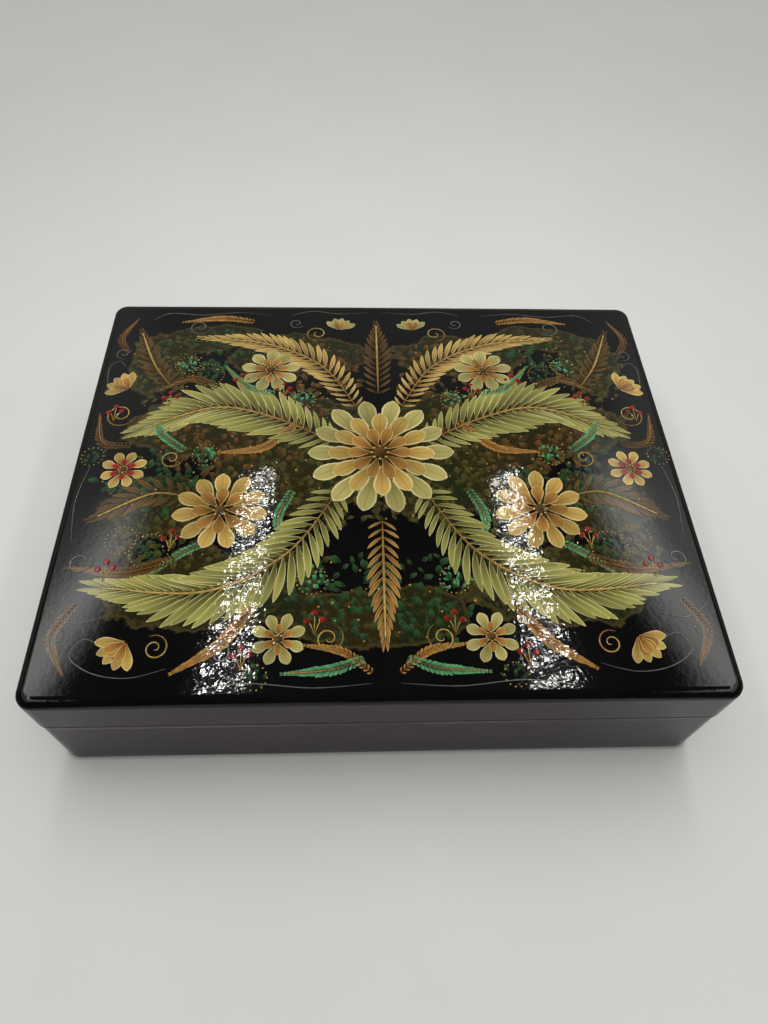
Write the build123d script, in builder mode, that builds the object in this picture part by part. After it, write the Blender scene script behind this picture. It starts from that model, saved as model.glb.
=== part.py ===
"""A hinged lacquer box of papier-mache: wound rings, a domed lid board, a lining collar and two hinges."""

import os
from math import radians, tan

from build123d import *

os.makedirs("parts", exist_ok=True)

# Sizes, in millimetres and degrees

lid_width = 200.0  # left to right, over the lid
lid_depth = 160.0  # front to back, over the lid
lid_overhang = 0.3  # how far the lid stands out past the base on every side
corner_radius = 5.0  # upright corners of the lid
wall = 5.0  # thickness of both wound rings
inner_radius = 2.0  # upright corners inside both rings
glue_line = 0.05  # room for glue between fitted pieces

base_height = 29.0  # from the table to the seam
floor_board = 3.5  # thickness of the bottom board
foot_round = 0.8  # softened lower edge of the base
seam_round = 0.4  # softened edges above and below the seam

collar_sheet = 1.6  # thickness of the lining collar
collar_stand = 3.5  # height of the collar above the seam
collar_round = 0.4  # softened top of the collar

rim_height = 13.5  # height of the lid's ring
board = 3.6  # thickness of the domed board
board_seat = 0.4  # depth of the flat margin that rests on the ring
dome_rise = 3.5  # height of the dome above its edges
edge_round = 3.0  # round-over along the lid's upper edge
dome_margin = 10.0  # how far the dome's surface runs past the lid while it is being cut

lid_swing = 105.0  # how far the lid opens
bevel_slack = 3.0  # spare angle between the bevels when the lid is open
bevel_relief = 0.2  # distance of the bevel's apex in front of the hinge line

hinge_inset = 45.0  # middle of each hinge from the nearer end of the lid
hinge_length = 36.0
lid_knuckle = 14.0  # length of the middle knuckle
knuckle_gap = 0.2  # end play between knuckles
pin_radius = 0.9
pin_seat = 0.02  # radial room in the base's knuckles, which hold the pin
pin_fit = 0.05  # radial room in the lid's knuckle, which turns on the pin
leaf_sheet = 0.6  # thickness of the hinge leaves
leaf_depth = 9.0  # how far a leaf runs into its ring
notch_room = 0.3  # room around the other leaf's knuckle
gullet_room = 0.2  # room around the knuckles in the rings

tack_radius = 0.6
tack_spread = 11.0  # distance of a tack from the middle of its hinge
tack_drop = 5.5  # distance of a tack from the seam
tack_fit = 0.03  # radial room around a tack

# Sizes that follow from those above

seam = base_height
rim_top = seam + rim_height
edge_height = rim_top + board_seat + board
base_width = lid_width - 2 * lid_overhang
base_depth = lid_depth - 2 * lid_overhang
base_corner = corner_radius - lid_overhang
lining_width = base_width - 2 * wall - 2 * glue_line
lining_depth = base_depth - 2 * wall - 2 * glue_line
lining_corner = inner_radius - glue_line
lid_back = lid_depth / 2
base_back = base_depth / 2

knuckle_radius = pin_radius + pin_fit + leaf_sheet
hinge_y = lid_back - knuckle_radius
leaf_front = hinge_y - knuckle_radius
notch_radius = knuckle_radius + notch_room
notch_length = lid_knuckle + 2 * knuckle_gap
gullet_radius = knuckle_radius + gullet_room
gullet_length = hinge_length + 2 * notch_room
bevel_angle = (lid_swing + bevel_slack) / 2
bevel_apex = hinge_y - bevel_relief
hinge_offset = lid_width / 2 - hinge_inset
hinges = {"left": -hinge_offset, "right": hinge_offset}
base_tack_end = (leaf_front + base_back - wall) / 2
lid_tack_end = (leaf_front + lid_back - wall) / 2


def ring_section(width, depth, outer_radius):
    """Draw the plan of a wound ring on the current sketch."""
    RectangleRounded(width, depth, outer_radius)
    RectangleRounded(width - 2 * wall, depth - 2 * wall, inner_radius, mode=Mode.SUBTRACT)


def bevel_section(side):
    """Draw the wedge behind the hinge line, above the seam for side 1 or below it for side -1."""
    reach = lid_back + 1 - bevel_apex
    Polygon(
        (bevel_apex, seam),
        (bevel_apex + reach, seam),
        (bevel_apex + reach, seam + side * reach * tan(radians(bevel_angle))),
        align=None,
    )


def tack_places(height):
    """Give the middle of each tack in plan, at one height."""
    return [(x + step, height) for x in hinges.values() for step in (-tack_spread, tack_spread)]


def cut_for_hinges(side):
    """Cut the gullets and kerfs for both hinges, above the seam for side 1 or below it for side -1."""
    with Locations(*[(x, hinge_y, seam) for x in hinges.values()]):
        Cylinder(gullet_radius, gullet_length, rotation=(0, 90, 0), mode=Mode.SUBTRACT)
    kerf_middle = leaf_front + leaf_sheet / 2
    kerf_depth = leaf_depth + glue_line
    with Locations(*[(x, kerf_middle, seam + side * kerf_depth / 2) for x in hinges.values()]):
        Box(hinge_length + 2 * glue_line, leaf_sheet + 2 * glue_line, kerf_depth, mode=Mode.SUBTRACT)


def dome_face(height):
    """Make the pillow-shaped surface whose straight edges lie over the lid's outline at one height."""
    half_x = lid_width / 2
    half_y = lid_depth / 2
    reach_x = half_x + dome_margin
    reach_y = half_y + dome_margin
    bend_x = (reach_x / half_x) ** 2
    bend_y = (reach_y / half_y) ** 2
    across = [(-reach_x, 1 - bend_x), (0, 1 + bend_x), (reach_x, 1 - bend_x)]
    along = [(-reach_y, 1 - bend_y), (0, 1 + bend_y), (reach_y, 1 - bend_y)]
    return Face.make_bezier_surface(
        [[(x, y, height + dome_rise * lift_x * lift_y) for y, lift_y in along] for x, lift_x in across]
    )


# Base: the ring, the bottom board and the lining collar

with BuildPart() as base_wall:
    with BuildSketch():
        ring_section(base_width, base_depth, base_corner)
    extrude(amount=base_height)
    fillet(base_wall.faces().sort_by(Axis.Z)[0].outer_wire().edges(), foot_round)
    fillet(base_wall.faces().sort_by(Axis.Z)[-1].outer_wire().edges(), seam_round)
    # The bevel behind the hinge line stops the open lid
    with BuildSketch(Plane.YZ):
        bevel_section(-1)
    extrude(amount=lid_width, both=True, mode=Mode.SUBTRACT)
    cut_for_hinges(-1)
    with BuildSketch(Plane.XZ.offset(-base_back)):
        with Locations(*tack_places(seam - tack_drop)):
            Circle(tack_radius + tack_fit)
    extrude(amount=base_back - base_tack_end, mode=Mode.SUBTRACT)

with BuildPart() as base_floor:
    with BuildSketch():
        RectangleRounded(lining_width, lining_depth, lining_corner)
    extrude(amount=floor_board)

with BuildPart() as inner_collar:
    with BuildSketch(Plane.XY.offset(floor_board)):
        RectangleRounded(lining_width, lining_depth, lining_corner)
        RectangleRounded(
            lining_width - 2 * collar_sheet,
            lining_depth - 2 * collar_sheet,
            max(inner_radius - collar_sheet, collar_round),
            mode=Mode.SUBTRACT,
        )
    extrude(amount=seam + collar_stand - floor_board)
    fillet(inner_collar.faces().sort_by(Axis.Z)[-1].outer_wire().edges(), collar_round)

# Lid: the ring, the space under the dome, and the domed board

with BuildPart() as lid_rim:
    with BuildSketch(Plane.XY.offset(seam)):
        ring_section(lid_width, lid_depth, corner_radius)
    extrude(amount=rim_height)
    fillet(lid_rim.faces().sort_by(Axis.Z)[0].outer_wire().edges(), seam_round)
    with BuildSketch(Plane.YZ):
        bevel_section(1)
    extrude(amount=lid_width, both=True, mode=Mode.SUBTRACT)
    cut_for_hinges(1)
    with BuildSketch(Plane.XZ.offset(-lid_back)):
        with Locations(*tack_places(seam + tack_drop)):
            Circle(tack_radius + tack_fit)
    extrude(amount=lid_back - lid_tack_end, mode=Mode.SUBTRACT)

with BuildPart() as lid_hollow:
    with BuildSketch(Plane.XY.offset(rim_top)):
        RectangleRounded(lid_width - 2 * wall, lid_depth - 2 * wall, inner_radius)
    extrude(amount=board_seat + dome_rise + 1)
    split(bisect_by=dome_face(rim_top + board_seat), keep=Keep.BOTTOM)

with BuildPart() as lid_top:
    with BuildSketch(Plane.XY.offset(rim_top)):
        RectangleRounded(lid_width, lid_depth, corner_radius)
    extrude(amount=board_seat + board + dome_rise + 1)
    split(bisect_by=dome_face(edge_height), keep=Keep.BOTTOM)
    fillet(lid_top.faces().sort_by(Axis.Z)[-1].outer_wire().edges(), edge_round)
    add(lid_hollow.part, mode=Mode.SUBTRACT)

# Hinges: leaves in the kerfs, pins through the knuckles, tacks through the leaves


def base_leaf(x):
    """Make the base's leaf of the hinge at x, with a knuckle at each end."""
    with BuildPart() as leaf:
        with Locations((x, leaf_front + leaf_sheet / 2, seam - leaf_depth / 2)):
            Box(hinge_length, leaf_sheet, leaf_depth)
        with Locations((x, hinge_y, seam)):
            Cylinder(knuckle_radius, hinge_length, rotation=(0, 90, 0))
        with Locations((x, hinge_y, seam)):
            Cylinder(notch_radius, notch_length, rotation=(0, 90, 0), mode=Mode.SUBTRACT)
            Cylinder(pin_radius + pin_seat, hinge_length, rotation=(0, 90, 0), mode=Mode.SUBTRACT)
        with BuildSketch(Plane.XZ.offset(-leaf_front - leaf_sheet)):
            with Locations((x - tack_spread, seam - tack_drop), (x + tack_spread, seam - tack_drop)):
                Circle(tack_radius + tack_fit)
        extrude(amount=leaf_sheet, mode=Mode.SUBTRACT)
    return leaf


def lid_leaf(x):
    """Make the lid's leaf of the hinge at x, with a knuckle in the middle."""
    side_length = (hinge_length - lid_knuckle) / 2
    side_middle = (hinge_length + lid_knuckle) / 4
    with BuildPart() as leaf:
        with Locations((x, leaf_front + leaf_sheet / 2, seam + leaf_depth / 2)):
            Box(hinge_length, leaf_sheet, leaf_depth)
        with Locations((x - side_middle, hinge_y, seam), (x + side_middle, hinge_y, seam)):
            Cylinder(notch_radius, side_length, rotation=(0, 90, 0), mode=Mode.SUBTRACT)
        with Locations((x, hinge_y, seam)):
            Cylinder(knuckle_radius, lid_knuckle, rotation=(0, 90, 0))
            Cylinder(pin_radius + pin_fit, lid_knuckle, rotation=(0, 90, 0), mode=Mode.SUBTRACT)
        with BuildSketch(Plane.XZ.offset(-leaf_front - leaf_sheet)):
            with Locations((x - tack_spread, seam + tack_drop), (x + tack_spread, seam + tack_drop)):
                Circle(tack_radius + tack_fit)
        extrude(amount=leaf_sheet, mode=Mode.SUBTRACT)
    return leaf


def hinge_pin(x):
    """Make the wire through the knuckles of the hinge at x."""
    with BuildPart() as pin:
        with Locations((x, hinge_y, seam)):
            Cylinder(pin_radius, hinge_length, rotation=(0, 90, 0))
        chamfer(pin.edges().filter_by(GeomType.CIRCLE), pin_radius / 4)
    return pin


with BuildPart() as base_hinge_tacks:
    with BuildSketch(Plane.XZ.offset(-base_back)):
        with Locations(*tack_places(seam - tack_drop)):
            Circle(tack_radius)
    extrude(amount=base_back - base_tack_end)

with BuildPart() as lid_hinge_tacks:
    with BuildSketch(Plane.XZ.offset(-lid_back)):
        with Locations(*tack_places(seam + tack_drop)):
            Circle(tack_radius)
    extrude(amount=lid_back - lid_tack_end)

# Pieces to keep

pieces = {
    "base_wall": base_wall,
    "base_floor": base_floor,
    "inner_collar": inner_collar,
    "base_hinge_tacks": base_hinge_tacks,
    "lid_rim": lid_rim,
    "lid_top": lid_top,
    "lid_hinge_tacks": lid_hinge_tacks,
}
for side, place in hinges.items():
    pieces[f"hinge_{side}_base_leaf"] = base_leaf(place)
    pieces[f"hinge_{side}_lid_leaf"] = lid_leaf(place)
    pieces[f"hinge_{side}_pin"] = hinge_pin(place)

for name, piece in pieces.items():
    piece.part.label = name
    export_step(piece.part, f"parts/{name}.step")
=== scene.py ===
"""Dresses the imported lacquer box: black and red lacquer, brass hinges and a painted folk garland on the lid."""

from math import cos, pi, radians, sin

import bpy
from mathutils import Matrix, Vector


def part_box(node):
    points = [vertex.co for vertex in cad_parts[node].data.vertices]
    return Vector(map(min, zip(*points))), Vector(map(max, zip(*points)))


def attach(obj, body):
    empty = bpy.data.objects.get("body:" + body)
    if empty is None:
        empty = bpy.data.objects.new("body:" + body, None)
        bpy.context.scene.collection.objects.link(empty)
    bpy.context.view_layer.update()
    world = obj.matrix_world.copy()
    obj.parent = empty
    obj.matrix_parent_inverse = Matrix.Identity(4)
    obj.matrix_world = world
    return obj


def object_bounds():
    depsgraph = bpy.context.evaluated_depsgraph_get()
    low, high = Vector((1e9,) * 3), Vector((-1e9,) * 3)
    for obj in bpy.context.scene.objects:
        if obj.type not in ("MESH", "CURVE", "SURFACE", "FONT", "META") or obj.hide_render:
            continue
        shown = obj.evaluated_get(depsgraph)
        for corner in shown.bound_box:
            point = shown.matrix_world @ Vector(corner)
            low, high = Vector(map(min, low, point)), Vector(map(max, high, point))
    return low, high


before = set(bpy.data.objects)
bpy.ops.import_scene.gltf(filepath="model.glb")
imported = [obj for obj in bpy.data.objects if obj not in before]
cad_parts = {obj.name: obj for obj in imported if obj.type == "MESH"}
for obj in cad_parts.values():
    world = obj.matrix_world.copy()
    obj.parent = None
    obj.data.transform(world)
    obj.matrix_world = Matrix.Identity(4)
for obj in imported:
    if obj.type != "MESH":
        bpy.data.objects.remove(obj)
cad_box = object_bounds()
scene = bpy.context.scene
scene.view_settings.view_transform = "Standard"

MM = 0.001
HAIR = 0.05 * MM  # room between a solid's edge and the place where its colour changes
PURE_BLACK = (0, 0, 0, 1)


def linear(red, green, blue):
    """Turn a colour written in screen values, 0 to 255, into the linear values that shaders take."""
    def channel(value):
        value /= 255
        return value / 12.92 if value <= 0.04045 else ((value + 0.055) / 1.055) ** 2.4
    return (channel(red), channel(green), channel(blue), 1.0)


# Node building


class Value:
    """One output socket of a node tree, on which plain arithmetic adds Math nodes."""

    def __init__(self, nodes, socket):
        self.nodes = nodes
        self.socket = socket

    def maths(self, operation, *others):
        return self.nodes.add("ShaderNodeMath", {"operation": operation}, dict(enumerate((self,) + others)))

    def out(self, name):
        """Another output of the same node."""
        return Value(self.nodes, self.socket.node.outputs[name])

    def __add__(self, other):
        return self.maths("ADD", other)

    def __radd__(self, other):
        return self.maths("ADD", other)

    def __sub__(self, other):
        return self.maths("SUBTRACT", other)

    def __rsub__(self, other):
        return self.nodes.value(other).maths("SUBTRACT", self)

    def __mul__(self, other):
        return self.maths("MULTIPLY", other)

    def __rmul__(self, other):
        return self.maths("MULTIPLY", other)

    def __truediv__(self, other):
        return self.maths("DIVIDE", other)

    def __rtruediv__(self, other):
        return self.nodes.value(other).maths("DIVIDE", self)

    def __pow__(self, other):
        return self.maths("POWER", other)

    def __neg__(self):
        return self.maths("MULTIPLY", -1.0)

    def __abs__(self):
        return self.maths("ABSOLUTE")

    def __lt__(self, other):
        return self.maths("LESS_THAN", other)

    def __gt__(self, other):
        return self.maths("GREATER_THAN", other)

    def least(self, other):
        return self.maths("MINIMUM", other)

    def most(self, other):
        return self.maths("MAXIMUM", other)

    def ease(self, low, high):
        """Rise smoothly from 0 at low to 1 at high."""
        inputs = {"Value": self, "From Min": low, "From Max": high}
        return self.nodes.add("ShaderNodeMapRange", {"interpolation_type": "SMOOTHSTEP"}, inputs)

    def hump(self, low, full, fading, gone):
        """Rise smoothly from 0 at low to 1 at full, and fall from fading to 0 at gone."""
        return self.ease(low, full) * (1 - self.ease(fading, gone))


class Nodes:
    """A node tree under construction."""

    def __init__(self, tree):
        self.tree = tree

    def feed(self, socket, given):
        """Link a value to a socket, or set the socket's own number or colour."""
        if isinstance(given, Value):
            self.tree.links.new(given.socket, socket)
        else:
            socket.default_value = given

    def add(self, kind, settings=None, inputs=None):
        """Add a node: its settings first, then the values or links of its sockets. Returns its first output."""
        node = self.tree.nodes.new(kind)
        for name, setting in (settings or {}).items():
            if name == "stops":
                self.set_stops(node.color_ramp, setting)
            else:
                setattr(node, name, setting)
        for name, given in (inputs or {}).items():
            self.feed(node.inputs[name], given)
        return Value(self, next(output for output in node.outputs if output.enabled))

    def set_stops(self, ramp, stops):
        while len(ramp.elements) < len(stops):
            ramp.elements.new(0.5)
        for element, (place, colour) in zip(ramp.elements, stops):
            element.position = place
            element.color = colour

    def value(self, number):
        """A plain number as a value."""
        return self.add("ShaderNodeMath", {"operation": "ADD"}, {0: number, 1: 0.0})

    def mix(self, amount, first, second):
        """Blend two colours."""
        inputs = {"Factor": amount, 6: first, 7: second}
        node = self.add("ShaderNodeMix", {"data_type": "RGBA", "clamp_factor": True}, inputs)
        return Value(self, node.socket.node.outputs[2])

    def ramp(self, amount, stops, interpolation):
        node = self.add("ShaderNodeValToRGB", {"stops": stops}, {"Fac": amount})
        node.socket.node.color_ramp.interpolation = interpolation
        return node

    def xyz(self, vector):
        split = self.add("ShaderNodeSeparateXYZ", None, {0: vector})
        return split.out("X"), split.out("Y"), split.out("Z")

    def vector(self, x, y, z):
        return self.add("ShaderNodeCombineXYZ", None, {"X": x, "Y": y, "Z": z})


class Finish(Nodes):
    """A material with one Principled shader."""

    def __init__(self, name):
        self.material = bpy.data.materials.new(name)
        self.material.use_nodes = True
        super().__init__(self.material.node_tree)
        self.shader = next(n for n in self.tree.nodes if n.type == "BSDF_PRINCIPLED")

    def place(self):
        return self.add("ShaderNodeTexCoord").out("Object")

    def noise(self, where, size, detail=2.0, roughness=0.5):
        """Noise whose features are about the given size in metres across."""
        inputs = {"Vector": where, "Scale": 1.0 / size, "Detail": detail, "Roughness": roughness}
        return self.add("ShaderNodeTexNoise", None, inputs)

    def set(self, **sockets):
        """Feed the shader's sockets, which are named here in lower case."""
        for name, given in sockets.items():
            self.feed(self.shader.inputs[name.replace("_", " ").title().replace("Ior", "IOR")], given)
        return self

    def bump(self, height, depth):
        """Raise the surface by height, 0 to 1, times depth in metres."""
        inputs = {"Strength": 1.0, "Distance": depth, "Height": height}
        return self.set(normal=self.add("ShaderNodeBump", None, inputs))


# Camera

PHOTO_HEIGHT = 1024
FOCAL_PIXELS = 737.3
SENSOR_HEIGHT = 36.0
NEAREST_SEEN = 0.01
CAMERA_PLACE = (-8.88 * MM, -149.79 * MM, 238.44 * MM)
CAMERA_YAW, CAMERA_PITCH, CAMERA_ROLL = -4.2016, 34.4997, 3.1973  # in degrees


def add_camera():
    """A camera at the photograph's viewing angle, in a frame as tall as the photograph's."""
    lens = bpy.data.cameras.new("camera")
    lens.sensor_fit = "VERTICAL"
    lens.sensor_height = SENSOR_HEIGHT
    lens.lens = FOCAL_PIXELS / PHOTO_HEIGHT * SENSOR_HEIGHT
    lens.clip_start = NEAREST_SEEN
    camera = bpy.data.objects.new("camera", lens)
    scene.collection.objects.link(camera)
    turn = Matrix.Rotation(radians(CAMERA_YAW), 4, "Z")
    turn @= Matrix.Rotation(radians(CAMERA_PITCH), 4, "X") @ Matrix.Rotation(radians(CAMERA_ROLL), 4, "Z")
    camera.matrix_world = Matrix.Translation(CAMERA_PLACE) @ turn
    scene.camera = camera


# Floor. Each shade has its strength, and the distances between which it comes or goes.

FLOOR_REACH = 4.0
PAPER, PALE_PAPER = linear(207, 209, 206), linear(209, 211, 208)
PAPER_CLOUDS = 60 * MM
CORNER = 5 * MM  # upright corners of the box
FAR_SHADE, FAR_RANGE = 0.04, (0.15, 0.40)  # away from the box
CONTACT_SHADE, CONTACT_RANGE = 0.36, (-0.4 * MM, 1.0 * MM)  # along the foot of the box
MIRRORED_PAPER = (0.13, 0.0, 0.16, 1)  # what the paper leans towards in the lacquer's mirror
MIRROR_SHADE, MIRROR_ENDS = 0.27, (0.055, 0.095)  # in that mirror, less at the ends of the box's front
LESS_AT_LEFT, LESS_AT_RIGHT = 0.10, 0.22
SHEET_SHADE, SHEET_EDGE = 0.9, (0.12, 0.17)  # past the sheet's sides, in that mirror


def add_floor():
    """A pale sheet with a narrow shade along the foot of the box. The lacquer mirrors it darker and violet."""
    mesh = bpy.data.meshes.new("floor")
    reach = FLOOR_REACH
    corners = [(-reach, -reach, 0), (reach, -reach, 0), (reach, reach, 0), (-reach, reach, 0)]
    mesh.from_pydata(corners, [], [(0, 1, 2, 3)])
    floor = bpy.data.objects.new("floor", mesh)
    scene.collection.objects.link(floor)
    finish = Finish("floor_paper")
    place = finish.place()
    x, y, z = finish.xyz(place)
    path = finish.add("ShaderNodeLightPath")
    mirrored = path.out("Is Glossy Ray")
    tone = finish.noise(place, PAPER_CLOUDS, detail=3.0).ease(0.3, 0.7)
    paper = finish.mix(tone, PAPER, PALE_PAPER)
    less = LESS_AT_RIGHT * x.ease(*MIRROR_ENDS) + LESS_AT_LEFT * (-x).ease(*MIRROR_ENDS)
    paper = finish.mix(mirrored * (MIRROR_SHADE - less), paper, MIRRORED_PAPER)
    far = FAR_SHADE * ((x * x + y * y) ** 0.5).ease(*FAR_RANGE)
    beside_x = (abs(x) - (cad_box[1][0] - CORNER)).most(0.0)
    beside_y = (abs(y) - (cad_box[1][1] - CORNER)).most(0.0)
    beside = (beside_x * beside_x + beside_y * beside_y) ** 0.5 - CORNER
    contact = path.out("Is Camera Ray") * CONTACT_SHADE * (1 - beside.ease(*CONTACT_RANGE))
    past_sheet = SHEET_SHADE * mirrored * abs(x).ease(*SHEET_EDGE)
    paper = finish.mix(far.most(contact).most(past_sheet), paper, PURE_BLACK)
    finish.set(base_color=paper, roughness=0.85)
    mesh.materials.append(finish.material)


# Lamps

LAMP_COLOUR = (1.0, 0.99, 0.96)
PANEL_PLACE, PANEL_SIZE, PANEL_ENERGY = (0, -0.14, 0.45), 0.3, 0.30
LAMP_ROWS = {"left": -0.0985, "right": 0.129}  # place of each row across the box
ROW_START, ROW_ABOVE = -0.065, 0.332
ROW_LAMPS, ROW_PITCH = 45, 0.00625
ROW_FRONT, ROW_BACK = 0.0135, 0.0085  # distance between a row's three columns at its two ends
LAMP_SIZE, ROW_ENERGY = 0.004, 0.23


def add_lamp(name, place, size, energy, mirrored=True):
    lamp = bpy.data.lights.new(name, "AREA")
    lamp.size = size
    lamp.energy = energy
    lamp.color = LAMP_COLOUR
    holder = bpy.data.objects.new(name, lamp)
    scene.collection.objects.link(holder)
    holder.location = place
    holder.visible_glossy = mirrored


def add_lights():
    """A soft panel overhead, and two rows of small lamps that the lid mirrors as bands of glints."""
    add_lamp("panel", PANEL_PLACE, PANEL_SIZE, PANEL_ENERGY, mirrored=False)
    for name, x in LAMP_ROWS.items():
        for number in range(ROW_LAMPS):
            apart = ROW_FRONT + (ROW_BACK - ROW_FRONT) * number / ROW_LAMPS
            place = (x + apart * (number % 3 - 1), ROW_START + ROW_PITCH * number, ROW_ABOVE)
            add_lamp(f"row_{name}_{number}", place, LAMP_SIZE, ROW_ENERGY / ROW_LAMPS)


# Sky, and what the lacquer mirrors instead of it. Each of those has its brightness, the slopes to either side
# of straight up at which it begins, is full, fades and ends, and the slopes to the back between which it fades.

SKY_UP, SKY_BACK = 1.75, 1.03
SKY_GREEN, SKY_BLUE = 0.995, 0.975  # beside a red of 1
BACKDROP = linear(205, 206, 202)
DARK_OPENING = 0.04
BAND, BAND_SLOPES, BAND_FADE = 3.8, (0.48, 0.58, 0.58, 0.68), (0.64, 0.98)
WALL_LIGHT, WALL_SLOPES, WALL_FADE = 0.4, (0.46, 0.60, 0.62, 0.80), (0.7, 1.0)
LOW_WALL, LOW_SLOPES, LOW_FADE = 0.7, (0.55, 0.70, 0.9, 1.5), (0.65, 0.95)
BACK_WALL, BACK_RISE = 0.21, (0.8, 1.25)
FRONT_DARK = (0.5, 1.7)  # in front there is only the dark opening
LEFT_NEARER, LEFT_BEHIND = 1.17, 0.2  # the left side stands nearer than the right, and fades sooner


def add_world():
    """A soft sky. The lacquer mirrors other surroundings: a pale band at each side of a dark opening."""
    world = bpy.data.worlds.new("tent")
    scene.world = world
    world.use_nodes = True
    nodes = Nodes(world.node_tree)
    background = next(n for n in world.node_tree.nodes if n.type == "BACKGROUND")
    x, y, z = nodes.xyz(nodes.add("ShaderNodeTexCoord").out("Generated"))
    sky = SKY_UP * z.most(0.0) ** 4 + SKY_BACK * y.most(0.0) ** 2
    height = z.most(0.02)
    lean = (x / height).most(-LEFT_NEARER * x / height)
    behind = y / height * (1 + LEFT_BEHIND * (x < 0.0))
    band = BAND * lean.hump(*BAND_SLOPES) * (1 - behind.ease(*BAND_FADE))
    wall = WALL_LIGHT * lean.hump(*WALL_SLOPES) * (1 - 0.6 * behind.ease(*WALL_FADE))
    low = LOW_WALL * lean.hump(*LOW_SLOPES) * (1 - 0.55 * behind.ease(*LOW_FADE))
    low = low * (1 + 0.5 * (x > 0.0))
    back = BACK_WALL * behind.ease(*BACK_RISE)
    front = (-y / abs(x).most(0.01)).ease(*FRONT_DARK)
    side = 1.05 - 0.15 * (x > 0.0)
    mirror = DARK_OPENING + (side * (band + wall) + low.most(back)) * (1 - front)
    path = nodes.add("ShaderNodeLightPath")
    light = sky + path.out("Is Glossy Ray") * (mirror - sky)
    colour = nodes.mix(1.0, PURE_BLACK, nodes.vector(light, light * SKY_GREEN, light * SKY_BLUE))
    colour = nodes.mix(path.out("Is Camera Ray"), colour, BACKDROP)
    nodes.feed(background.inputs["Color"], colour)


# Sizes that the lid gives its finish and its garland

LID_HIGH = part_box("lid_top")[1]
HALF_WIDTH, HALF_DEPTH = LID_HIGH[0], LID_HIGH[1]
DOME_RISE = 3.5 * MM
EDGE_HEIGHT = LID_HIGH[2] - DOME_RISE
BOARD = 3.6 * MM
WALL = 5 * MM
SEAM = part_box("lid_rim")[0][2]


def dome(x, y):
    """Height of the lid's top over a place on it."""
    x, y = x / HALF_WIDTH, y / HALF_DEPTH
    return EDGE_HEIGHT + DOME_RISE * (1 - x * x) * (1 - y * y)


# Finishes

LACQUER_IOR = 1.42
BLACK = (0.0018, 0.0016, 0.0016, 1)
BLACK_WORN = (0.0036, 0.0033, 0.0033, 1)
SIDE_BLACK = (0.0066, 0.0040, 0.0056, 1)
SIDE_WORN = (0.0090, 0.0060, 0.0078, 1)
# pale of the painted highlights along the sides' edges, and of the polishing lines
SIDE_HIGHLIGHT_AND_RUB = linear(92, 86, 89)
SIDE_SHEEN = (1.0, 0.80, 0.97, 1)
RED = linear(150, 22, 16)
RED_LIGHT = linear(172, 32, 22)
GROUND_BROWN, GROUND_GREEN = linear(42, 35, 15), linear(29, 36, 17)
GROUND_LEAFY, GROUND_RIM = linear(74, 65, 30), linear(90, 79, 42)
BRASS, BRASS_TARNISHED = linear(196, 158, 84), linear(168, 124, 58)
STEEL, STEEL_SPOTTED = linear(176, 176, 178), linear(150, 150, 152)
RIPPLE_SIZE = 1.4 * MM
RIPPLE_DEPTH = 0.0245 * MM
RIPPLE_CALM, CALM_RANGE = 0.65, (58 * MM, 78 * MM)

UNDERPAINT = [
    # across, up, half width, half height: soft patches of dark paint behind the garland, in mm
    (24, 2, 38, 32), (60, 16, 32, 17), (52, -46, 38, 16), (68, -16, 22, 14), (30, 50, 30, 13),
    (78, 46, 13, 18), (8, -56, 22, 11), (60, 60, 20, 9),
]


def within_walls(x, y):
    """1 inside the box's walls and 0 outside."""
    return (abs(x) < HALF_WIDTH - WALL + HAIR) * (abs(y) < HALF_DEPTH - WALL + HAIR)


def red_where(finish, inside, place, black):
    """Paint the inside red over the black."""
    cloud = finish.noise(place, 18 * MM, detail=3.0)
    return finish.mix(inside, black, finish.mix(cloud, RED, RED_LIGHT))


def ripple(finish):
    """Give a finish the lid's fine ripple, which is shallower towards the left and right edges."""
    place = finish.place()
    x, y, z = finish.xyz(place)
    waves = finish.noise(place, RIPPLE_SIZE, detail=1.0, roughness=0.4)
    return finish.bump(waves * (1 - RIPPLE_CALM * abs(x).ease(*CALM_RANGE)), RIPPLE_DEPTH)


def lid_lacquer():
    """Deep gloss with the fine ripple of many polished coats, over soft patches of olive and brown paint."""
    finish = Finish("lid_lacquer")
    place = finish.place()
    x, y, z = finish.xyz(place)
    cloud = finish.noise(place, 14 * MM, detail=3.0)
    black = finish.mix(cloud, BLACK, BLACK_WORN)
    ragged = 0.9 * (finish.noise(place, 11 * MM, detail=4.0, roughness=0.6) - 0.5)
    ground = finish.value(0.0)
    for across, up, wide, high in UNDERPAINT:
        u = (abs(x) - across * MM) / (wide * MM)
        v = (y - up * MM) / (high * MM)
        ground = ground.most(0.92 - (u * u + v * v) ** 0.5 + ragged)
    leafy = finish.noise(place, 2.2 * MM, detail=4.0, roughness=0.65)
    hue = finish.noise(place, 24 * MM)
    paint = finish.mix(hue.ease(0.42, 0.58), GROUND_BROWN, GROUND_GREEN)
    paint = finish.mix(leafy.ease(0.5, 0.72), paint, GROUND_LEAFY)
    rim = ground.hump(0.06, 0.12, 0.14, 0.22)
    paint = finish.mix(rim * 0.7, paint, GROUND_RIM)
    above = z > dome(x, y) - 0.5 * MM
    black = finish.mix(ground.ease(0.04, 0.3).most(rim * 0.6) * above * 0.88, black, paint)
    below = (z < dome(x, y) - BOARD / 2) * within_walls(x, y)
    finish.set(base_color=red_where(finish, below, place, black))
    satin = 1 - z.ease(EDGE_HEIGHT - 2.4 * MM, EDGE_HEIGHT - 0.6 * MM)
    streak = finish.noise(finish.vector(x * 0.05, y * 0.05, z), 0.5 * MM)
    finish.set(roughness=0.04 + 0.02 * cloud + satin * (0.10 + 0.14 * streak), ior=LACQUER_IOR)
    return ripple(finish).material


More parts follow.
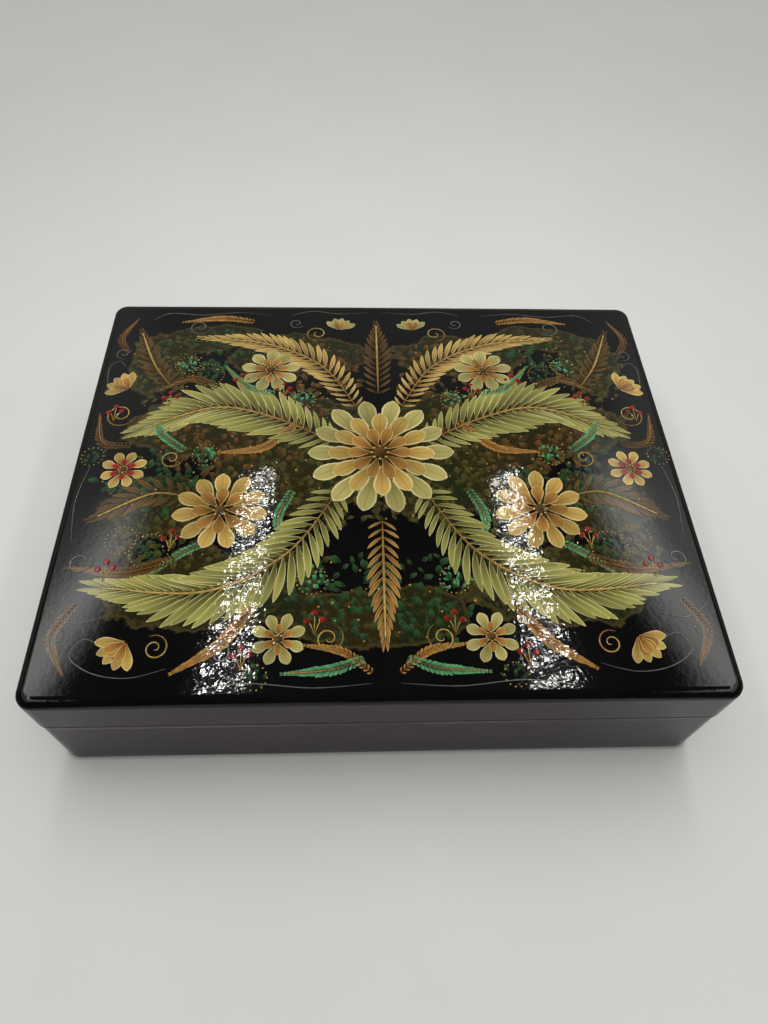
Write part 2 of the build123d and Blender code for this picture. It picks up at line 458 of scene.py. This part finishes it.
def side_lacquer():
    """Rubbed satin black with level polishing lines, and painted pale highlights below the seam and along the
    foot.
    """
    finish = Finish("side_lacquer")
    place = finish.place()
    x, y, z = finish.xyz(place)
    streak = finish.noise(finish.vector(x * 0.04, y * 0.04, z), 0.45 * MM, detail=3.0)
    cloud = finish.noise(place, 16 * MM, detail=3.0)
    black = finish.mix(cloud, SIDE_BLACK, SIDE_WORN)
    on_lid = z > SEAM - HAIR
    groove = ((z - SEAM) * on_lid).hump(0.35 * MM, 0.6 * MM, 1.0 * MM, 1.25 * MM)
    # Painted highlights where the edges catch light: a pale band just below the seam and another along the foot,
    # patchy along the box. The pale polishing lines are the lacquer's own.
    patchy = finish.noise(finish.vector(x, y * 0.3, z * 4), 40 * MM, detail=3.0).ease(0.36, 0.6)
    lip = (z - SEAM).hump(-2.3 * MM, -1.8 * MM, -0.9 * MM, -0.2 * MM)
    foot = z.hump(0.6 * MM, 1.1 * MM, 1.9 * MM, 2.5 * MM)
    pale = (lip.most(foot * 0.6) * (0.15 + 0.85 * patchy)).most(streak.ease(0.55, 0.75) * 0.12)
    black = finish.mix(pale, black, SIDE_HIGHLIGHT_AND_RUB)
    finish.set(base_color=red_where(finish, within_walls(x, y) * on_lid, place, black))
    finish.set(roughness=0.15 + 0.16 * streak + 0.05 * cloud + groove * 0.4, ior=LACQUER_IOR)
    finish.set(specular_tint=SIDE_SHEEN)
    return finish.bump(streak, 0.004 * MM).material


def red_lacquer():
    """Red gloss inside, and black on the underside."""
    finish = Finish("red_lacquer")
    place = finish.place()
    x, y, z = finish.xyz(place)
    cloud = finish.noise(place, 18 * MM, detail=3.0)
    black = finish.mix(cloud, BLACK, BLACK_WORN)
    finish.set(base_color=red_where(finish, z > 1 * MM, place, black))
    finish.set(roughness=0.12 + 0.08 * cloud)
    return finish.bump(finish.noise(place, 1.4 * MM), 0.008 * MM).material


def brass():
    finish = Finish("brass")
    place = finish.place()
    tarnish = finish.noise(place, 3 * MM, detail=4.0)
    finish.set(base_color=finish.mix(tarnish, BRASS, BRASS_TARNISHED), metallic=1.0)
    finish.set(roughness=0.22 + 0.2 * tarnish)
    return finish.bump(finish.noise(place, 0.3 * MM), 0.003 * MM).material


def steel():
    finish = Finish("pin_steel")
    spots = finish.noise(finish.place(), 1.0 * MM, detail=3.0)
    finish.set(base_color=finish.mix(spots, STEEL, STEEL_SPOTTED), metallic=1.0)
    return finish.set(roughness=0.25 + 0.15 * spots).material


def dress(names, material):
    """Give CAD nodes a finish, in their material slots alone."""
    for name in names:
        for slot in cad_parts[name].material_slots:
            slot.link = "OBJECT"
            slot.material = material


# Paints of the garland: the colour at a stroke's root, at its tip and along its edges

PAINTS = {
    "leaf": ((82, 78, 33), (150, 147, 78), (192, 184, 126)),
    "gold": ((128, 90, 40), (182, 152, 80), (208, 188, 130)),
    "ochre": ((104, 64, 27), (160, 117, 57), (190, 158, 98)),
    "cream": ((112, 107, 52), (166, 157, 94), (200, 190, 138)),
    "shade": ((36, 33, 16), (74, 69, 32), (92, 86, 42)),
    "brown": ((46, 33, 16), (92, 67, 33), (120, 92, 48)),
    "green": ((18, 34, 22), (44, 72, 40), (66, 94, 54)),
    "mint": ((26, 68, 46), (86, 146, 98), (126, 172, 128)),
    "red": ((86, 20, 17), (140, 40, 30), (172, 84, 56)),
    "silver": ((80, 82, 78), (106, 108, 103), (118, 120, 114)),
}
ROOT, TIP, EDGE = range(3)
SHADES = 3
DARK_SHADE, SHADE_STEP = 0.84, 0.07  # strength of a paint's first shade, and of each step to the next
ROWS = len(PAINTS) * SHADES
OUTLINE_STRENGTH, OUTLINE_SOFTNESS = 0.9, 0.2
HATCH_LINES = 2.5


def row_of(paint):
    """First of the rows that hold a paint's shades."""
    return list(PAINTS).index(paint) * SHADES


def paint_ramp(finish, tone, part):
    """The colour of one part of a stroke, root, tip or edge, for the row that its tone says."""
    stops = []
    for colours in PAINTS.values():
        for shade in range(SHADES):
            strength = DARK_SHADE + SHADE_STEP * shade
            stops.append((len(stops) / ROWS, linear(*(channel * strength for channel in colours[part]))))
    return finish.ramp(tone, stops, "CONSTANT")


def stroke_paint(name, edge_start, hatch):
    """Paint that runs from root to tip along a stroke, with a pale outline and fine lines along it."""
    finish = Finish(name)
    along, across, tone = (finish.add("ShaderNodeAttribute", {"attribute_name": a}).out("Fac")
                           for a in ("along", "across", "tone"))
    root, tip, edge = (paint_ramp(finish, tone, part) for part in (ROOT, TIP, EDGE))
    body = finish.mix(along.ease(0.0, 0.85), root, tip)
    outline = abs(across).ease(edge_start, edge_start + OUTLINE_SOFTNESS).most(along.ease(0.93, 0.985))
    line = (across * HATCH_LINES * pi).maths("COSINE").ease(0.55, 0.95) * along.ease(0.05, 0.3) * hatch
    body = finish.mix(line, body, root)
    finish.set(base_color=finish.mix(outline * OUTLINE_STRENGTH, body, edge), roughness=0.05, ior=LACQUER_IOR)
    return ripple(finish).material


# Geometry trees that paint the garland on the lid

SUNK = 0.08 * MM  # depth of a stroke's underside below the lid's surface
GOLDEN_SHARE = 0.618034


class Growth(Nodes):
    """A geometry tree that turns guide points into strokes of paint on the lid."""

    def __init__(self, name, material):
        super().__init__(bpy.data.node_groups.new(name, "GeometryNodeTree"))
        self.material = material
        self.sizes = {}
        self.tree.interface.new_socket("Geometry", in_out="INPUT", socket_type="NodeSocketGeometry")
        self.tree.interface.new_socket("Geometry", in_out="OUTPUT", socket_type="NodeSocketGeometry")
        self.entry = self.tree.nodes.new("NodeGroupInput")
        self.guides = Value(self, self.entry.outputs["Geometry"])

    def size(self, name, kind="NodeSocketFloat"):
        """A named input of the tree."""
        self.sizes[name] = self.tree.interface.new_socket(name, in_out="INPUT", socket_type=kind).identifier
        return Value(self, self.entry.outputs[name])

    def position(self):
        return self.add("GeometryNodeInputPosition")

    def read(self, name, kind="FLOAT"):
        return self.add("GeometryNodeInputNamedAttribute", {"data_type": kind}, {"Name": name})

    def store(self, geometry, name, value, kind="FLOAT", domain="POINT"):
        settings = {"data_type": kind, "domain": domain}
        inputs = {0: geometry, "Name": name, "Value": value}
        return self.add("GeometryNodeStoreNamedAttribute", settings, inputs)

    def chance(self, low, high, seed):
        """A number between low and high, drawn anew for each point."""
        inputs = {2: low, 3: high, "Seed": seed}
        return self.add("FunctionNodeRandomValue", {"data_type": "FLOAT"}, inputs)

    def layer(self, low, high):
        """A height between low and high that keeps neighbouring strokes apart."""
        turn = self.add("GeometryNodeInputIndex") * GOLDEN_SHARE
        return low + (high - low) * turn.maths("FRACT")

    def shaded(self, points, seed):
        """Pick one of its paint's shades for each point."""
        row = self.read("row") + self.chance(0.0, SHADES - 0.01, seed).maths("FLOOR")
        return self.store(points, "tone", (row + 0.5) / ROWS)

    def strewn(self, gap, density, seed):
        """Points strewn over the guide patches, a gap apart at least."""
        inputs = {"Mesh": self.guides, "Distance Min": gap, "Density Max": density, "Seed": seed}
        return self.add("GeometryNodeDistributePointsOnFaces", {"distribute_method": "POISSON"}, inputs)

    def copies(self, points, shape):
        """A plain copy of a shape on each point."""
        laid = self.add("GeometryNodeInstanceOnPoints", None, {"Points": points, "Instance": shape})
        return self.add("GeometryNodeRealizeInstances", None, {0: laid})

    def moved(self, geometry, x, y, z):
        inputs = {"Geometry": geometry, "Position": self.vector(x, y, z)}
        return self.add("GeometryNodeSetPosition", None, inputs)

    def strokes(self, points, steps, skew):
        """Lay a flat stroke from each point, by its angle, length, width, bend and lift."""
        points = self.store(points, "root", self.position(), "FLOAT_VECTOR")
        inputs = {"Size": (1.0, 2.0, 1.0), "Vertices X": steps + 1, "Vertices Y": 3, "Vertices Z": 2}
        slab = self.add("GeometryNodeMeshCube", None, inputs)
        x, y, z = self.xyz(self.position())
        slab = self.store(slab, "along", 1 - (0.5 - x).most(0.0) ** 1.4)
        slab = self.store(slab, "across", y)
        slab = self.store(slab, "upper", z + 0.5)
        laid = self.copies(points, slab)
        along, across, length, angle = (self.read(a) for a in ("along", "across", "length", "angle"))
        swell = (along ** skew * pi).maths("SINE").most(0.0) ** 0.7
        side = across * self.read("width") * (0.07 + 0.93 * swell)
        side = side + self.read("bend") * length * along * along
        root_x, root_y, root_z = self.xyz(self.read("root", "FLOAT_VECTOR"))
        sine, cosine = angle.maths("SINE"), angle.maths("COSINE")
        x = root_x + along * length * cosine - side * sine
        y = root_y + along * length * sine + side * cosine
        z = dome(x, y) + self.read("upper") * (self.read("lift") + SUNK) - SUNK
        return self.mapped(self.moved(laid, x, y, z), along, across)

    def mapped(self, geometry, along, across):
        """Give each row of paint its own strip of the bake's map."""
        row = 0.5 + 0.42 * across + (self.read("tone") * ROWS).maths("FLOOR")
        place = self.vector(0.02 + 0.96 * along, row / ROWS, 0.0)
        return self.store(geometry, "OFBake", place, "FLOAT2", "CORNER")

    def end(self, geometry):
        geometry = self.add("GeometryNodeRealizeInstances", None, {0: geometry})
        geometry = self.add("GeometryNodeSetMaterial", None, {"Geometry": geometry, "Material": self.material})
        leaving = self.tree.nodes.new("NodeGroupOutput")
        self.feed(leaving.inputs[0], geometry)
        return self

    def join(self, parts):
        node = self.tree.nodes.new("GeometryNodeJoinGeometry")
        for part in parts:
            self.feed(node.inputs[0], part)
        return Value(self, node.outputs[0])

    def smooth_curve(self, spacing):
        """The guide lines as smooth curves, with points at an even spacing."""
        curve = self.add("GeometryNodeMeshToCurve", None, {0: self.guides})
        curve = self.add("GeometryNodeCurveSplineType", {"spline_type": "CATMULL_ROM"}, {0: curve})
        return self.add("GeometryNodeResampleCurve", {"mode": "LENGTH"}, {0: curve, "Length": spacing})


def frond_tree(material):
    """Leaflets on both sides of a stem, longest in its middle and closing towards its tip."""
    tree = Growth("fronds", material)
    names = ("Spacing", "Slimness", "Lean root", "Lean tip")
    spacing, slimness, lean_root, lean_tip = (tree.size(name) for name in names)
    stem = tree.smooth_curve(spacing)
    tx, ty, tz = tree.xyz(tree.add("GeometryNodeInputTangent"))
    stem = tree.store(stem, "heading", ty.maths("ARCTAN2", tx))
    stem = tree.store(stem, "reached", tree.add("GeometryNodeSplineParameter").out("Factor"))
    points = tree.add("GeometryNodeCurveToPoints", {"mode": "EVALUATED"}, {0: stem})
    sides = []
    for side in (1, -1):
        lean = lean_root + (lean_tip - lean_root) * tree.read("reached")
        lean = lean + tree.chance(-0.05, 0.05, seed=3 + side)
        laid = tree.store(points, "angle", tree.read("heading") + side * lean)
        laid = tree.store(laid, "length", tree.read("reach") * tree.chance(0.94, 1.06, seed=11 + side))
        laid = tree.store(laid, "width", tree.read("length") * slimness)
        laid = tree.store(laid, "bend", tree.chance(-0.20, -0.12, seed=21 + side) * side)
        laid = tree.store(laid, "lift", tree.read("height") + 0.05 * MM * (1 - tree.read("reached")))
        sides.append(tree.shaded(laid, seed=41 + side))
    return tree.end(tree.strokes(tree.join(sides), steps=7, skew=1.25))


def fan_tree(material):
    """Petals around each guide point, a full ring or part of one."""
    tree = Growth("fans", material)
    points = tree.add("GeometryNodeMeshToPoints", None, {0: tree.guides})
    inputs = {"Geometry": points, "Amount": tree.read("petals").maths("ROUND")}
    fan = tree.add("GeometryNodeDuplicateElements", {"domain": "POINT"}, inputs)
    number = fan.out("Duplicate Index")
    turn = tree.read("turn") + tree.read("spread") * ((number + 0.5) / tree.read("petals") - 0.5)
    fan = tree.store(fan, "angle", turn + tree.chance(-0.03, 0.03, seed=5))
    fan = tree.store(fan, "length", tree.read("reach") * tree.chance(0.95, 1.05, seed=6))
    fan = tree.store(fan, "lift", tree.read("height") + tree.layer(0.0, 0.016 * MM))
    x, y, z = tree.xyz(tree.position())
    angle, hub = tree.read("angle"), tree.read("hub")
    fan = tree.moved(fan, x + hub * angle.maths("COSINE"), y + hub * angle.maths("SINE"), 0.0)
    return tree.end(tree.strokes(tree.shaded(fan, seed=8), steps=7, skew=1.7))


def dab_tree(material):
    """Short dabs of foliage strewn over each guide patch."""
    tree = Growth("dabs", material)
    density, length, seed = tree.size("Density"), tree.size("Length"), tree.size("Seed", "NodeSocketInt")
    dabs = tree.strewn(0.5 * length, density, seed)
    dabs = tree.store(dabs, "angle", tree.chance(0.2, pi - 0.2, seed=51))
    dabs = tree.store(dabs, "length", length * tree.chance(0.7, 1.2, seed=52))
    dabs = tree.store(dabs, "width", tree.read("length") * tree.chance(0.22, 0.36, seed=53))
    dabs = tree.store(dabs, "bend", tree.chance(-0.3, 0.3, seed=54))
    dabs = tree.store(dabs, "lift", tree.layer(0.008 * MM, 0.03 * MM))
    return tree.end(tree.strokes(tree.shaded(dabs, seed=56), steps=3, skew=1.0))


def line_tree(material):
    """Thin painted lines that taper at both ends."""
    tree = Growth("lines", material)
    spacing, thickness = tree.size("Spacing"), tree.size("Thickness")
    line = tree.smooth_curve(spacing)
    reached = tree.add("GeometryNodeSplineParameter").out("Factor")
    line = tree.store(line, "along", reached)
    radius = tree.read("thick") * (0.25 + 0.75 * (reached * pi).maths("SINE").most(0.0) ** 0.5)
    line = tree.add("GeometryNodeSetCurveRadius", None, {"Curve": line, "Radius": radius})
    line = tree.shaded(line, seed=61)
    profile = tree.add("GeometryNodeCurvePrimitiveCircle", None, {"Resolution": 6, "Radius": 1.0})
    inputs = {"Curve": line, "Profile Curve": profile, "Scale": radius, "Fill Caps": True}
    tube = tree.add("GeometryNodeCurveToMesh", None, inputs)
    x, y, z = tree.xyz(tree.position())
    tube = tree.moved(tube, x, y, dome(x, y) + tree.read("height") + z * thickness)
    return tree.end(tree.mapped(tube, tree.read("along"), 0.0))


def bead_tree(material, strewn=False):
    """A flattened bead of paint on each guide point, or beads strewn over each guide patch."""
    tree = Growth("beads", material)
    flatness = tree.size("Flatness")
    if strewn:
        density, gap = tree.size("Density"), tree.size("Gap")
        points = tree.strewn(gap, density, seed=9)
        points = tree.store(points, "reach", tree.chance(0.22 * MM, 0.40 * MM, seed=74))
        points = tree.store(points, "height", tree.value(0.045 * MM))
    else:
        points = tree.add("GeometryNodeMeshToPoints", None, {0: tree.guides})
    points = tree.store(tree.shaded(points, seed=71), "root", tree.position(), "FLOAT_VECTOR")
    bead = tree.add("GeometryNodeMeshUVSphere", None, {"Segments": 10, "Rings": 5, "Radius": 1.0})
    x, y, z = tree.xyz(tree.position())
    bead = tree.store(bead, "along", 0.5 + 0.5 * (0.6 * y - 0.6 * x).most(-1.0).least(1.0))
    bead = tree.store(bead, "local", tree.position(), "FLOAT_VECTOR")
    laid = tree.copies(points, bead)
    x, y, z = tree.xyz(tree.read("local", "FLOAT_VECTOR"))
    root_x, root_y, root_z = tree.xyz(tree.read("root", "FLOAT_VECTOR"))
    reach = tree.read("reach")
    x, y = root_x + x * reach, root_y + y * reach
    laid = tree.moved(laid, x, y, dome(x, y) + tree.read("height") + z * reach * flatness)
    return tree.end(tree.mapped(laid, tree.read("along"), 0.0))


class Guides:
    """Guide points, lines or patches on the lid, with what each point says about its strokes. In mm."""

    def __init__(self, *says):
        self.points, self.edges, self.faces = [], [], []
        self.says = {name: [] for name in says}

    def point(self, x, y, **says):
        self.points.append((x * MM, y * MM, 0.0))
        for name, value in says.items():
            self.says[name].append(value)

    def line(self, places, **says):
        """A line through places, each of which holds x, y and a dict of what changes along the line."""
        first = len(self.points)
        for x, y, changing in places:
            self.point(x, y, **(says | changing))
        self.edges += [(i, i + 1) for i in range(first, len(self.points) - 1)]

    def mesh(self):
        mesh = bpy.data.meshes.new("guides")
        mesh.from_pydata(self.points, self.edges, self.faces)
        for name, values in self.says.items():
            mesh.attributes.new(name, "FLOAT", "POINT").data.foreach_set("value", values)
        return mesh


def grow(name, tree, guides, **sizes):
    """Paint a tree's strokes on guides, as a plain mesh that rides on the lid."""
    source = bpy.data.objects.new(name + "_guides", guides.mesh())
    scene.collection.objects.link(source)
    modifier = source.modifiers.new(name, "NODES")
    modifier.node_group = tree.tree
    for size, number in sizes.items():
        modifier[tree.sizes[size.replace("_", " ")]] = number
    depsgraph = bpy.context.evaluated_depsgraph_get()
    mesh = bpy.data.meshes.new_from_object(
        source.evaluated_get(depsgraph), preserve_all_data_layers=True, depsgraph=depsgraph)
    source.modifiers.remove(modifier)
    bpy.data.objects.remove(source)
    mesh.name = name
    piece = bpy.data.objects.new(name, mesh)
    scene.collection.objects.link(piece)
    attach(piece, "lid")


# The garland, in mm from the middle of the lid. What stands right of the middle is mirrored to the left.

FRONDS = [
    # paint, then the stem: across, up and the length of the leaflets there
    ("leaf", (16, 8, 8), (36, 19, 16), (56, 24, 16), (80, 15, 7)),
    ("leaf", (14, -13, 8), (29, -35, 15), (52, -47, 16), (82, -45, 7)),
    ("gold", (8, 24, 5), (20, 44, 10), (40, 56, 9), (64, 60, 3)),
    ("brown", (60, -14, 5), (72, -12, 9), (88, -20, 4)),
    ("brown", (72, 34, 4), (80, 46, 7), (87, 63, 3)),
    ("ochre", (0, -24, 5), (0, -42, 8), (0, -62, 4)),
    ("brown", (0, 30, 5), (0, 48, 8), (0, 67, 3)),
]
SPRIGS = [
    # as the fronds, but smaller
    ("brown", (62, -36, 2.2), (76, -40, 3.2), (93, -38, 1.4)),
    ("ochre", (38, -52, 2.0), (46, -63, 3.2), (58, -71, 1.4)),
    ("mint", (6, -68, 1.6), (15, -71, 2.8), (28, -72, 1.2)),
    ("brown", (56, 34, 2.0), (66, 38, 3.0), (76, 33, 1.4)),
    ("ochre", (27, 17, 1.8), (38, 6, 3.0), (52, 4, 1.4)),
    ("mint", (64, 5, 1.8), (72, 12, 2.8), (76, 20, 1.2)),
    ("brown", (88, -50, 1.8), (93, -60, 2.8), (88, -71, 1.2)),
    ("ochre", (46, 69, 1.8), (58, 71, 2.8), (72, 69, 1.2)),
    ("mint", (28, -12, 1.8), (32, -22, 2.8), (30, -32, 1.2)),
    ("brown", (82, 8, 1.6), (92, 10, 2.6), (95, 22, 1.2)),
    ("ochre", (4, -72, 1.4), (12, -66, 2.4), (22, -64, 1.2)),
    ("mint", (52, -30, 1.6), (60, -34, 2.4), (70, -42, 1.2)),
    ("brown", (90, 52, 1.6), (94, 60, 2.4), (90, 70, 1.2)),
    ("mint", (36, 30, 1.8), (46, 34, 2.6), (54, 44, 1.2)),
]
FLOWERS = [
    # across, up, then rings: paint, petals, hub, reach, half width
    (0, 3, (("cream", 14, 9.5, 14.5, 3.2), ("gold", 12, 5.5, 12, 2.9), ("ochre", 10, 2.6, 8.2, 2.2))),
    (50, -19, (("gold", 11, 4, 10.5, 2.6), ("ochre", 8, 1.8, 7, 2.1))),
    (38, 42, (("cream", 9, 2.6, 8, 2.3), ("ochre", 7, 1.3, 5, 1.6))),
    (83, -2, (("gold", 8, 1.8, 5.8, 1.7), ("red", 6, 0.9, 3.4, 1.1))),
    (30, -62, (("cream", 8, 1.8, 6, 1.7), ("ochre", 6, 0.9, 3.7, 1.2))),
]
BLOSSOMS = [
    # across, up, way it faces in degrees, paint, reach
    (87, 34, 40, "gold", 8), (72, -62, -50, "gold", 8), (14, 64, 100, "cream", 6.5),
]
BLOSSOM_RINGS = ((5, 1.0, 2.2), (4, 0.72, 1.2))  # petals, share of the reach, spread
PATCHES = [
    # across, up, half width, half height, paint
    (22, -10, 24, 20, "shade"), (50, 12, 30, 18, "brown"), (52, -38, 32, 16, "shade"),
    (28, 40, 22, 16, "brown"), (68, -8, 20, 14, "green"), (76, 44, 14, 18, "shade"),
    (12, -50, 16, 14, "green"), (62, 52, 18, 10, "green"),
]
BUSHES = [
    # across, up, half width, paint: round tufts of leaves, each with a ring of dots
    (70, -33, 5.0, "green"), (79, -29, 3.8, "shade"), (60, 40, 4.6, "green"), (68, 45, 3.4, "mint"),
    (21, -44, 3.6, "mint"), (26, 27, 3.4, "mint"), (94, 4, 2.8, "green"), (57, 3, 3.4, "mint"),
    (36, -73, 2.6, "green"),
]
SCROLLS = [
    # the places along a thin line
    ((60, -70), (70, -72.5), (80, -71), (87, -66), (84, -61), (79, -63)),
    ((94, -30), (96, -14), (94, 0)),
    ((40, 73), (52, 74.5), (66, 73), (78, 74), (84, 70)),
    ((94, 30), (96, 44), (93, 48), (90, 45)),
    ((4, -75), (20, -76), (38, -74.5), (52, -76)),
    ((78, -54), (88, -56), (95, -52)),
    ((2, 75), (14, 74), (24, 75.5), (32, 73)),
]
TENDRILS = [
    # middle across and up, outer radius, turns, start in degrees, paint
    (88, 22, 5.5, 1.6, 200, "gold"), (66, 66, 4.5, 1.5, 180, "silver"), (90, -36, 4.5, 1.5, 120, "silver"),
    (64, -64, 4, 1.6, 60, "gold"), (22, 62, 4.5, 1.5, 250, "gold"), (16, -62, 4.5, 1.6, 120, "gold"),
    (92, 52, 3, 1.4, 250, "silver"), (68, 2, 4, 1.5, 180, "gold"), (46, -66, 3.5, 1.4, 20, "silver"),
    (30, 68, 3, 1.4, 200, "silver"), (92, -60, 2.6, 1.3, 90, "silver"),
]
TENDRIL_STEPS = 10  # in each turn
BERRIES = [
    # across, up: a spray of three, on stems from below
    (33, 33), (64, -28), (82, -38), (20, -56), (48, 38), (72, 30), (90, 24), (40, -66),
]
PATCH_CORNERS = 20
HUB_DOTS = 8
DOT_PITCH, DOT_MARGIN = 1.1, 0.9  # of the ring around a bush
LEAFLET_HEIGHT = 0.035 * MM
PETAL_HEIGHT, PETAL_STEP = 0.11 * MM, 0.02 * MM


def both_ways(x):
    """Right and left, or once for what stands in the middle."""
    return (1, -1) if x else (1,)


def circle(x, y, radius, count):
    """Places all around a middle."""
    angles = [2 * pi * step / count for step in range(count)]
    return [(x + radius * cos(angle), y + radius * sin(angle)) for angle in angles]


def spray(x, y):
    """Places of three berries."""
    return [(x - 2.2, y - 0.4), (x, y + 1.6), (x + 2.2, y - 0.8)]


def stem_guides(stems):
    guides = Guides("row", "reach", "height")
    for paint, *stem in stems:
        for way in both_ways(stem[0][0]):
            places = [(way * x, y, {"reach": reach * MM}) for x, y, reach in stem]
            guides.line(places, row=row_of(paint), height=LEAFLET_HEIGHT)
    return guides


def fan_guides():
    guides = Guides("row", "petals", "hub", "reach", "width", "turn", "spread", "bend", "height")
    for x, y, rings in FLOWERS:
        for way in both_ways(x):
            for layer, (paint, petals, hub, reach, width) in enumerate(rings):
                guides.point(way * x, y, row=row_of(paint), petals=petals, hub=hub * MM, reach=reach * MM,
                             width=width * MM, turn=pi / 2 + layer * pi / petals, spread=2 * pi, bend=0.0,
                             height=PETAL_HEIGHT + PETAL_STEP * layer)
    for x, y, facing, paint, reach in BLOSSOMS:
        for way in both_ways(x):
            turn = radians(facing if way > 0 else 180 - facing)
            for layer, (petals, share, spread) in enumerate(BLOSSOM_RINGS):
                guides.point(way * x, y, row=row_of("ochre" if layer else paint), petals=petals, hub=0.4 * MM,
                             reach=reach * share * MM, width=0.2 * reach * MM, turn=turn, spread=spread,
                             bend=0.0, height=PETAL_HEIGHT + PETAL_STEP * layer)
    return guides


def patch_guides(patches):
    """Wavy outlines of the patches over which paint is strewn."""
    guides = Guides("row")
    for x, y, wide, high, paint in patches:
        for way in both_ways(x):
            first = len(guides.points)
            for step in range(PATCH_CORNERS):
                angle = 2 * pi * step / PATCH_CORNERS
                wobble = 1 + 0.12 * sin(3 * angle + x) + 0.08 * sin(5 * angle + y)
                place = (way * x + wide * wobble * cos(angle), y + high * wobble * sin(angle))
                guides.point(*place, row=row_of(paint))
            guides.faces.append(tuple(range(first, first + PATCH_CORNERS)))
    return guides


def line_guides():
    """Stems of fronds and sprigs, scrolls, stems of berries and tendrils."""
    guides = Guides("row", "thick", "height")

    def draw(lines, paint, thick, height):
        for way in both_ways(lines[0][0][0]):
            for line in lines:
                places = [(way * place[0], place[1], {}) for place in line]
                guides.line(places, row=row_of(paint), thick=thick * MM, height=height * MM)

    for paint, *stem in FRONDS:
        draw([stem], "gold", thick=0.42, height=0.07)
    for paint, *stem in SPRIGS:
        draw([stem], "ochre", thick=0.22, height=0.06)
    for scroll in SCROLLS:
        draw([scroll], "silver", thick=0.16, height=0.05)
    for x, y in BERRIES:
        stems = [((x, y - 5), ((x + berry_x) / 2, (y - 3 + berry_y) / 2), (berry_x, berry_y))
                 for berry_x, berry_y in spray(x, y)]
        draw(stems, "gold", thick=0.15, height=0.06)
    for x, y, radius, turns, start, paint in TENDRILS:
        tendril = []
        for step in range(int(TENDRIL_STEPS * turns) + 1):
            share = step / (TENDRIL_STEPS * turns)
            angle = radians(start) + 2 * pi * turns * share
            reach = radius * (1 - 0.85 * share)
            tendril.append((x + reach * cos(angle), y + reach * sin(angle)))
        draw([tendril], paint, thick=0.24, height=0.07)
    return guides


def bead_guides():
    """Flower hearts with their dots, berries, and the rings of dots around bushes."""
    guides = Guides("row", "reach", "height")
    for x, y, rings in FLOWERS:
        hub = rings[-1][2]
        for way in both_ways(x):
            guides.point(way * x, y, row=row_of("brown"), reach=(0.9 + 0.55 * hub) * MM, height=0.15 * MM)
            for place in circle(way * x, y, 0.7 + 0.75 * hub, HUB_DOTS):
                guides.point(*place, row=row_of("gold"), reach=(0.28 + 0.08 * hub) * MM, height=0.17 * MM)
    for x, y in BERRIES:
        for way in both_ways(x):
            for berry_x, berry_y in spray(x, y):
                guides.point(way * berry_x, berry_y, row=row_of("red"), reach=1.05 * MM, height=0.07 * MM)
    for x, y, reach, paint in BUSHES:
        dots = int(2 * pi * reach / DOT_PITCH)
        for way in both_ways(x):
            for place in circle(way * x, y, reach + DOT_MARGIN, dots):
                guides.point(*place, row=row_of("gold"), reach=0.24 * MM, height=0.06 * MM)
    return guides


add_camera()
add_floor()
add_lights()
add_world()
dress(["lid_top"], lid_lacquer())
dress(["base_wall", "lid_rim"], side_lacquer())
dress(["base_floor", "inner_collar"], red_lacquer())
dress([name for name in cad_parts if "leaf" in name or "tacks" in name], brass())
dress([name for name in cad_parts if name.endswith("pin")], steel())

frond_paint = stroke_paint("garland_paint", edge_start=0.68, hatch=0.35)
soft_paint = stroke_paint("foliage_paint", edge_start=0.85, hatch=0.0)
tufts = [(x, y, reach, reach, paint) for x, y, reach, paint in BUSHES]
gilt = [(x, y, wide, high, "gold") for x, y, wide, high, paint in PATCHES]
grow("garland_foliage", dab_tree(soft_paint), patch_guides(PATCHES),
     Density=160000.0, Length=3.4 * MM, Seed=4)
grow("garland_bushes", dab_tree(soft_paint), patch_guides(tufts),
     Density=900000.0, Length=1.9 * MM, Seed=5)
grow("garland_sprigs", frond_tree(soft_paint), stem_guides(SPRIGS),
     Spacing=1.15 * MM, Slimness=0.17, Lean_root=1.0, Lean_tip=0.4)
grow("garland_fronds", frond_tree(frond_paint), stem_guides(FRONDS),
     Spacing=2.7 * MM, Slimness=0.086, Lean_root=1.15, Lean_tip=0.35)
grow("garland_flowers", fan_tree(frond_paint), fan_guides())
grow("garland_lines", line_tree(soft_paint), line_guides(), Spacing=0.9 * MM, Thickness=0.08)
grow("garland_beads", bead_tree(soft_paint), bead_guides(), Flatness=0.06)
grow("garland_dots", bead_tree(soft_paint, strewn=True), patch_guides(gilt),
     Flatness=0.06, Density=30000.0, Gap=3.2 * MM)
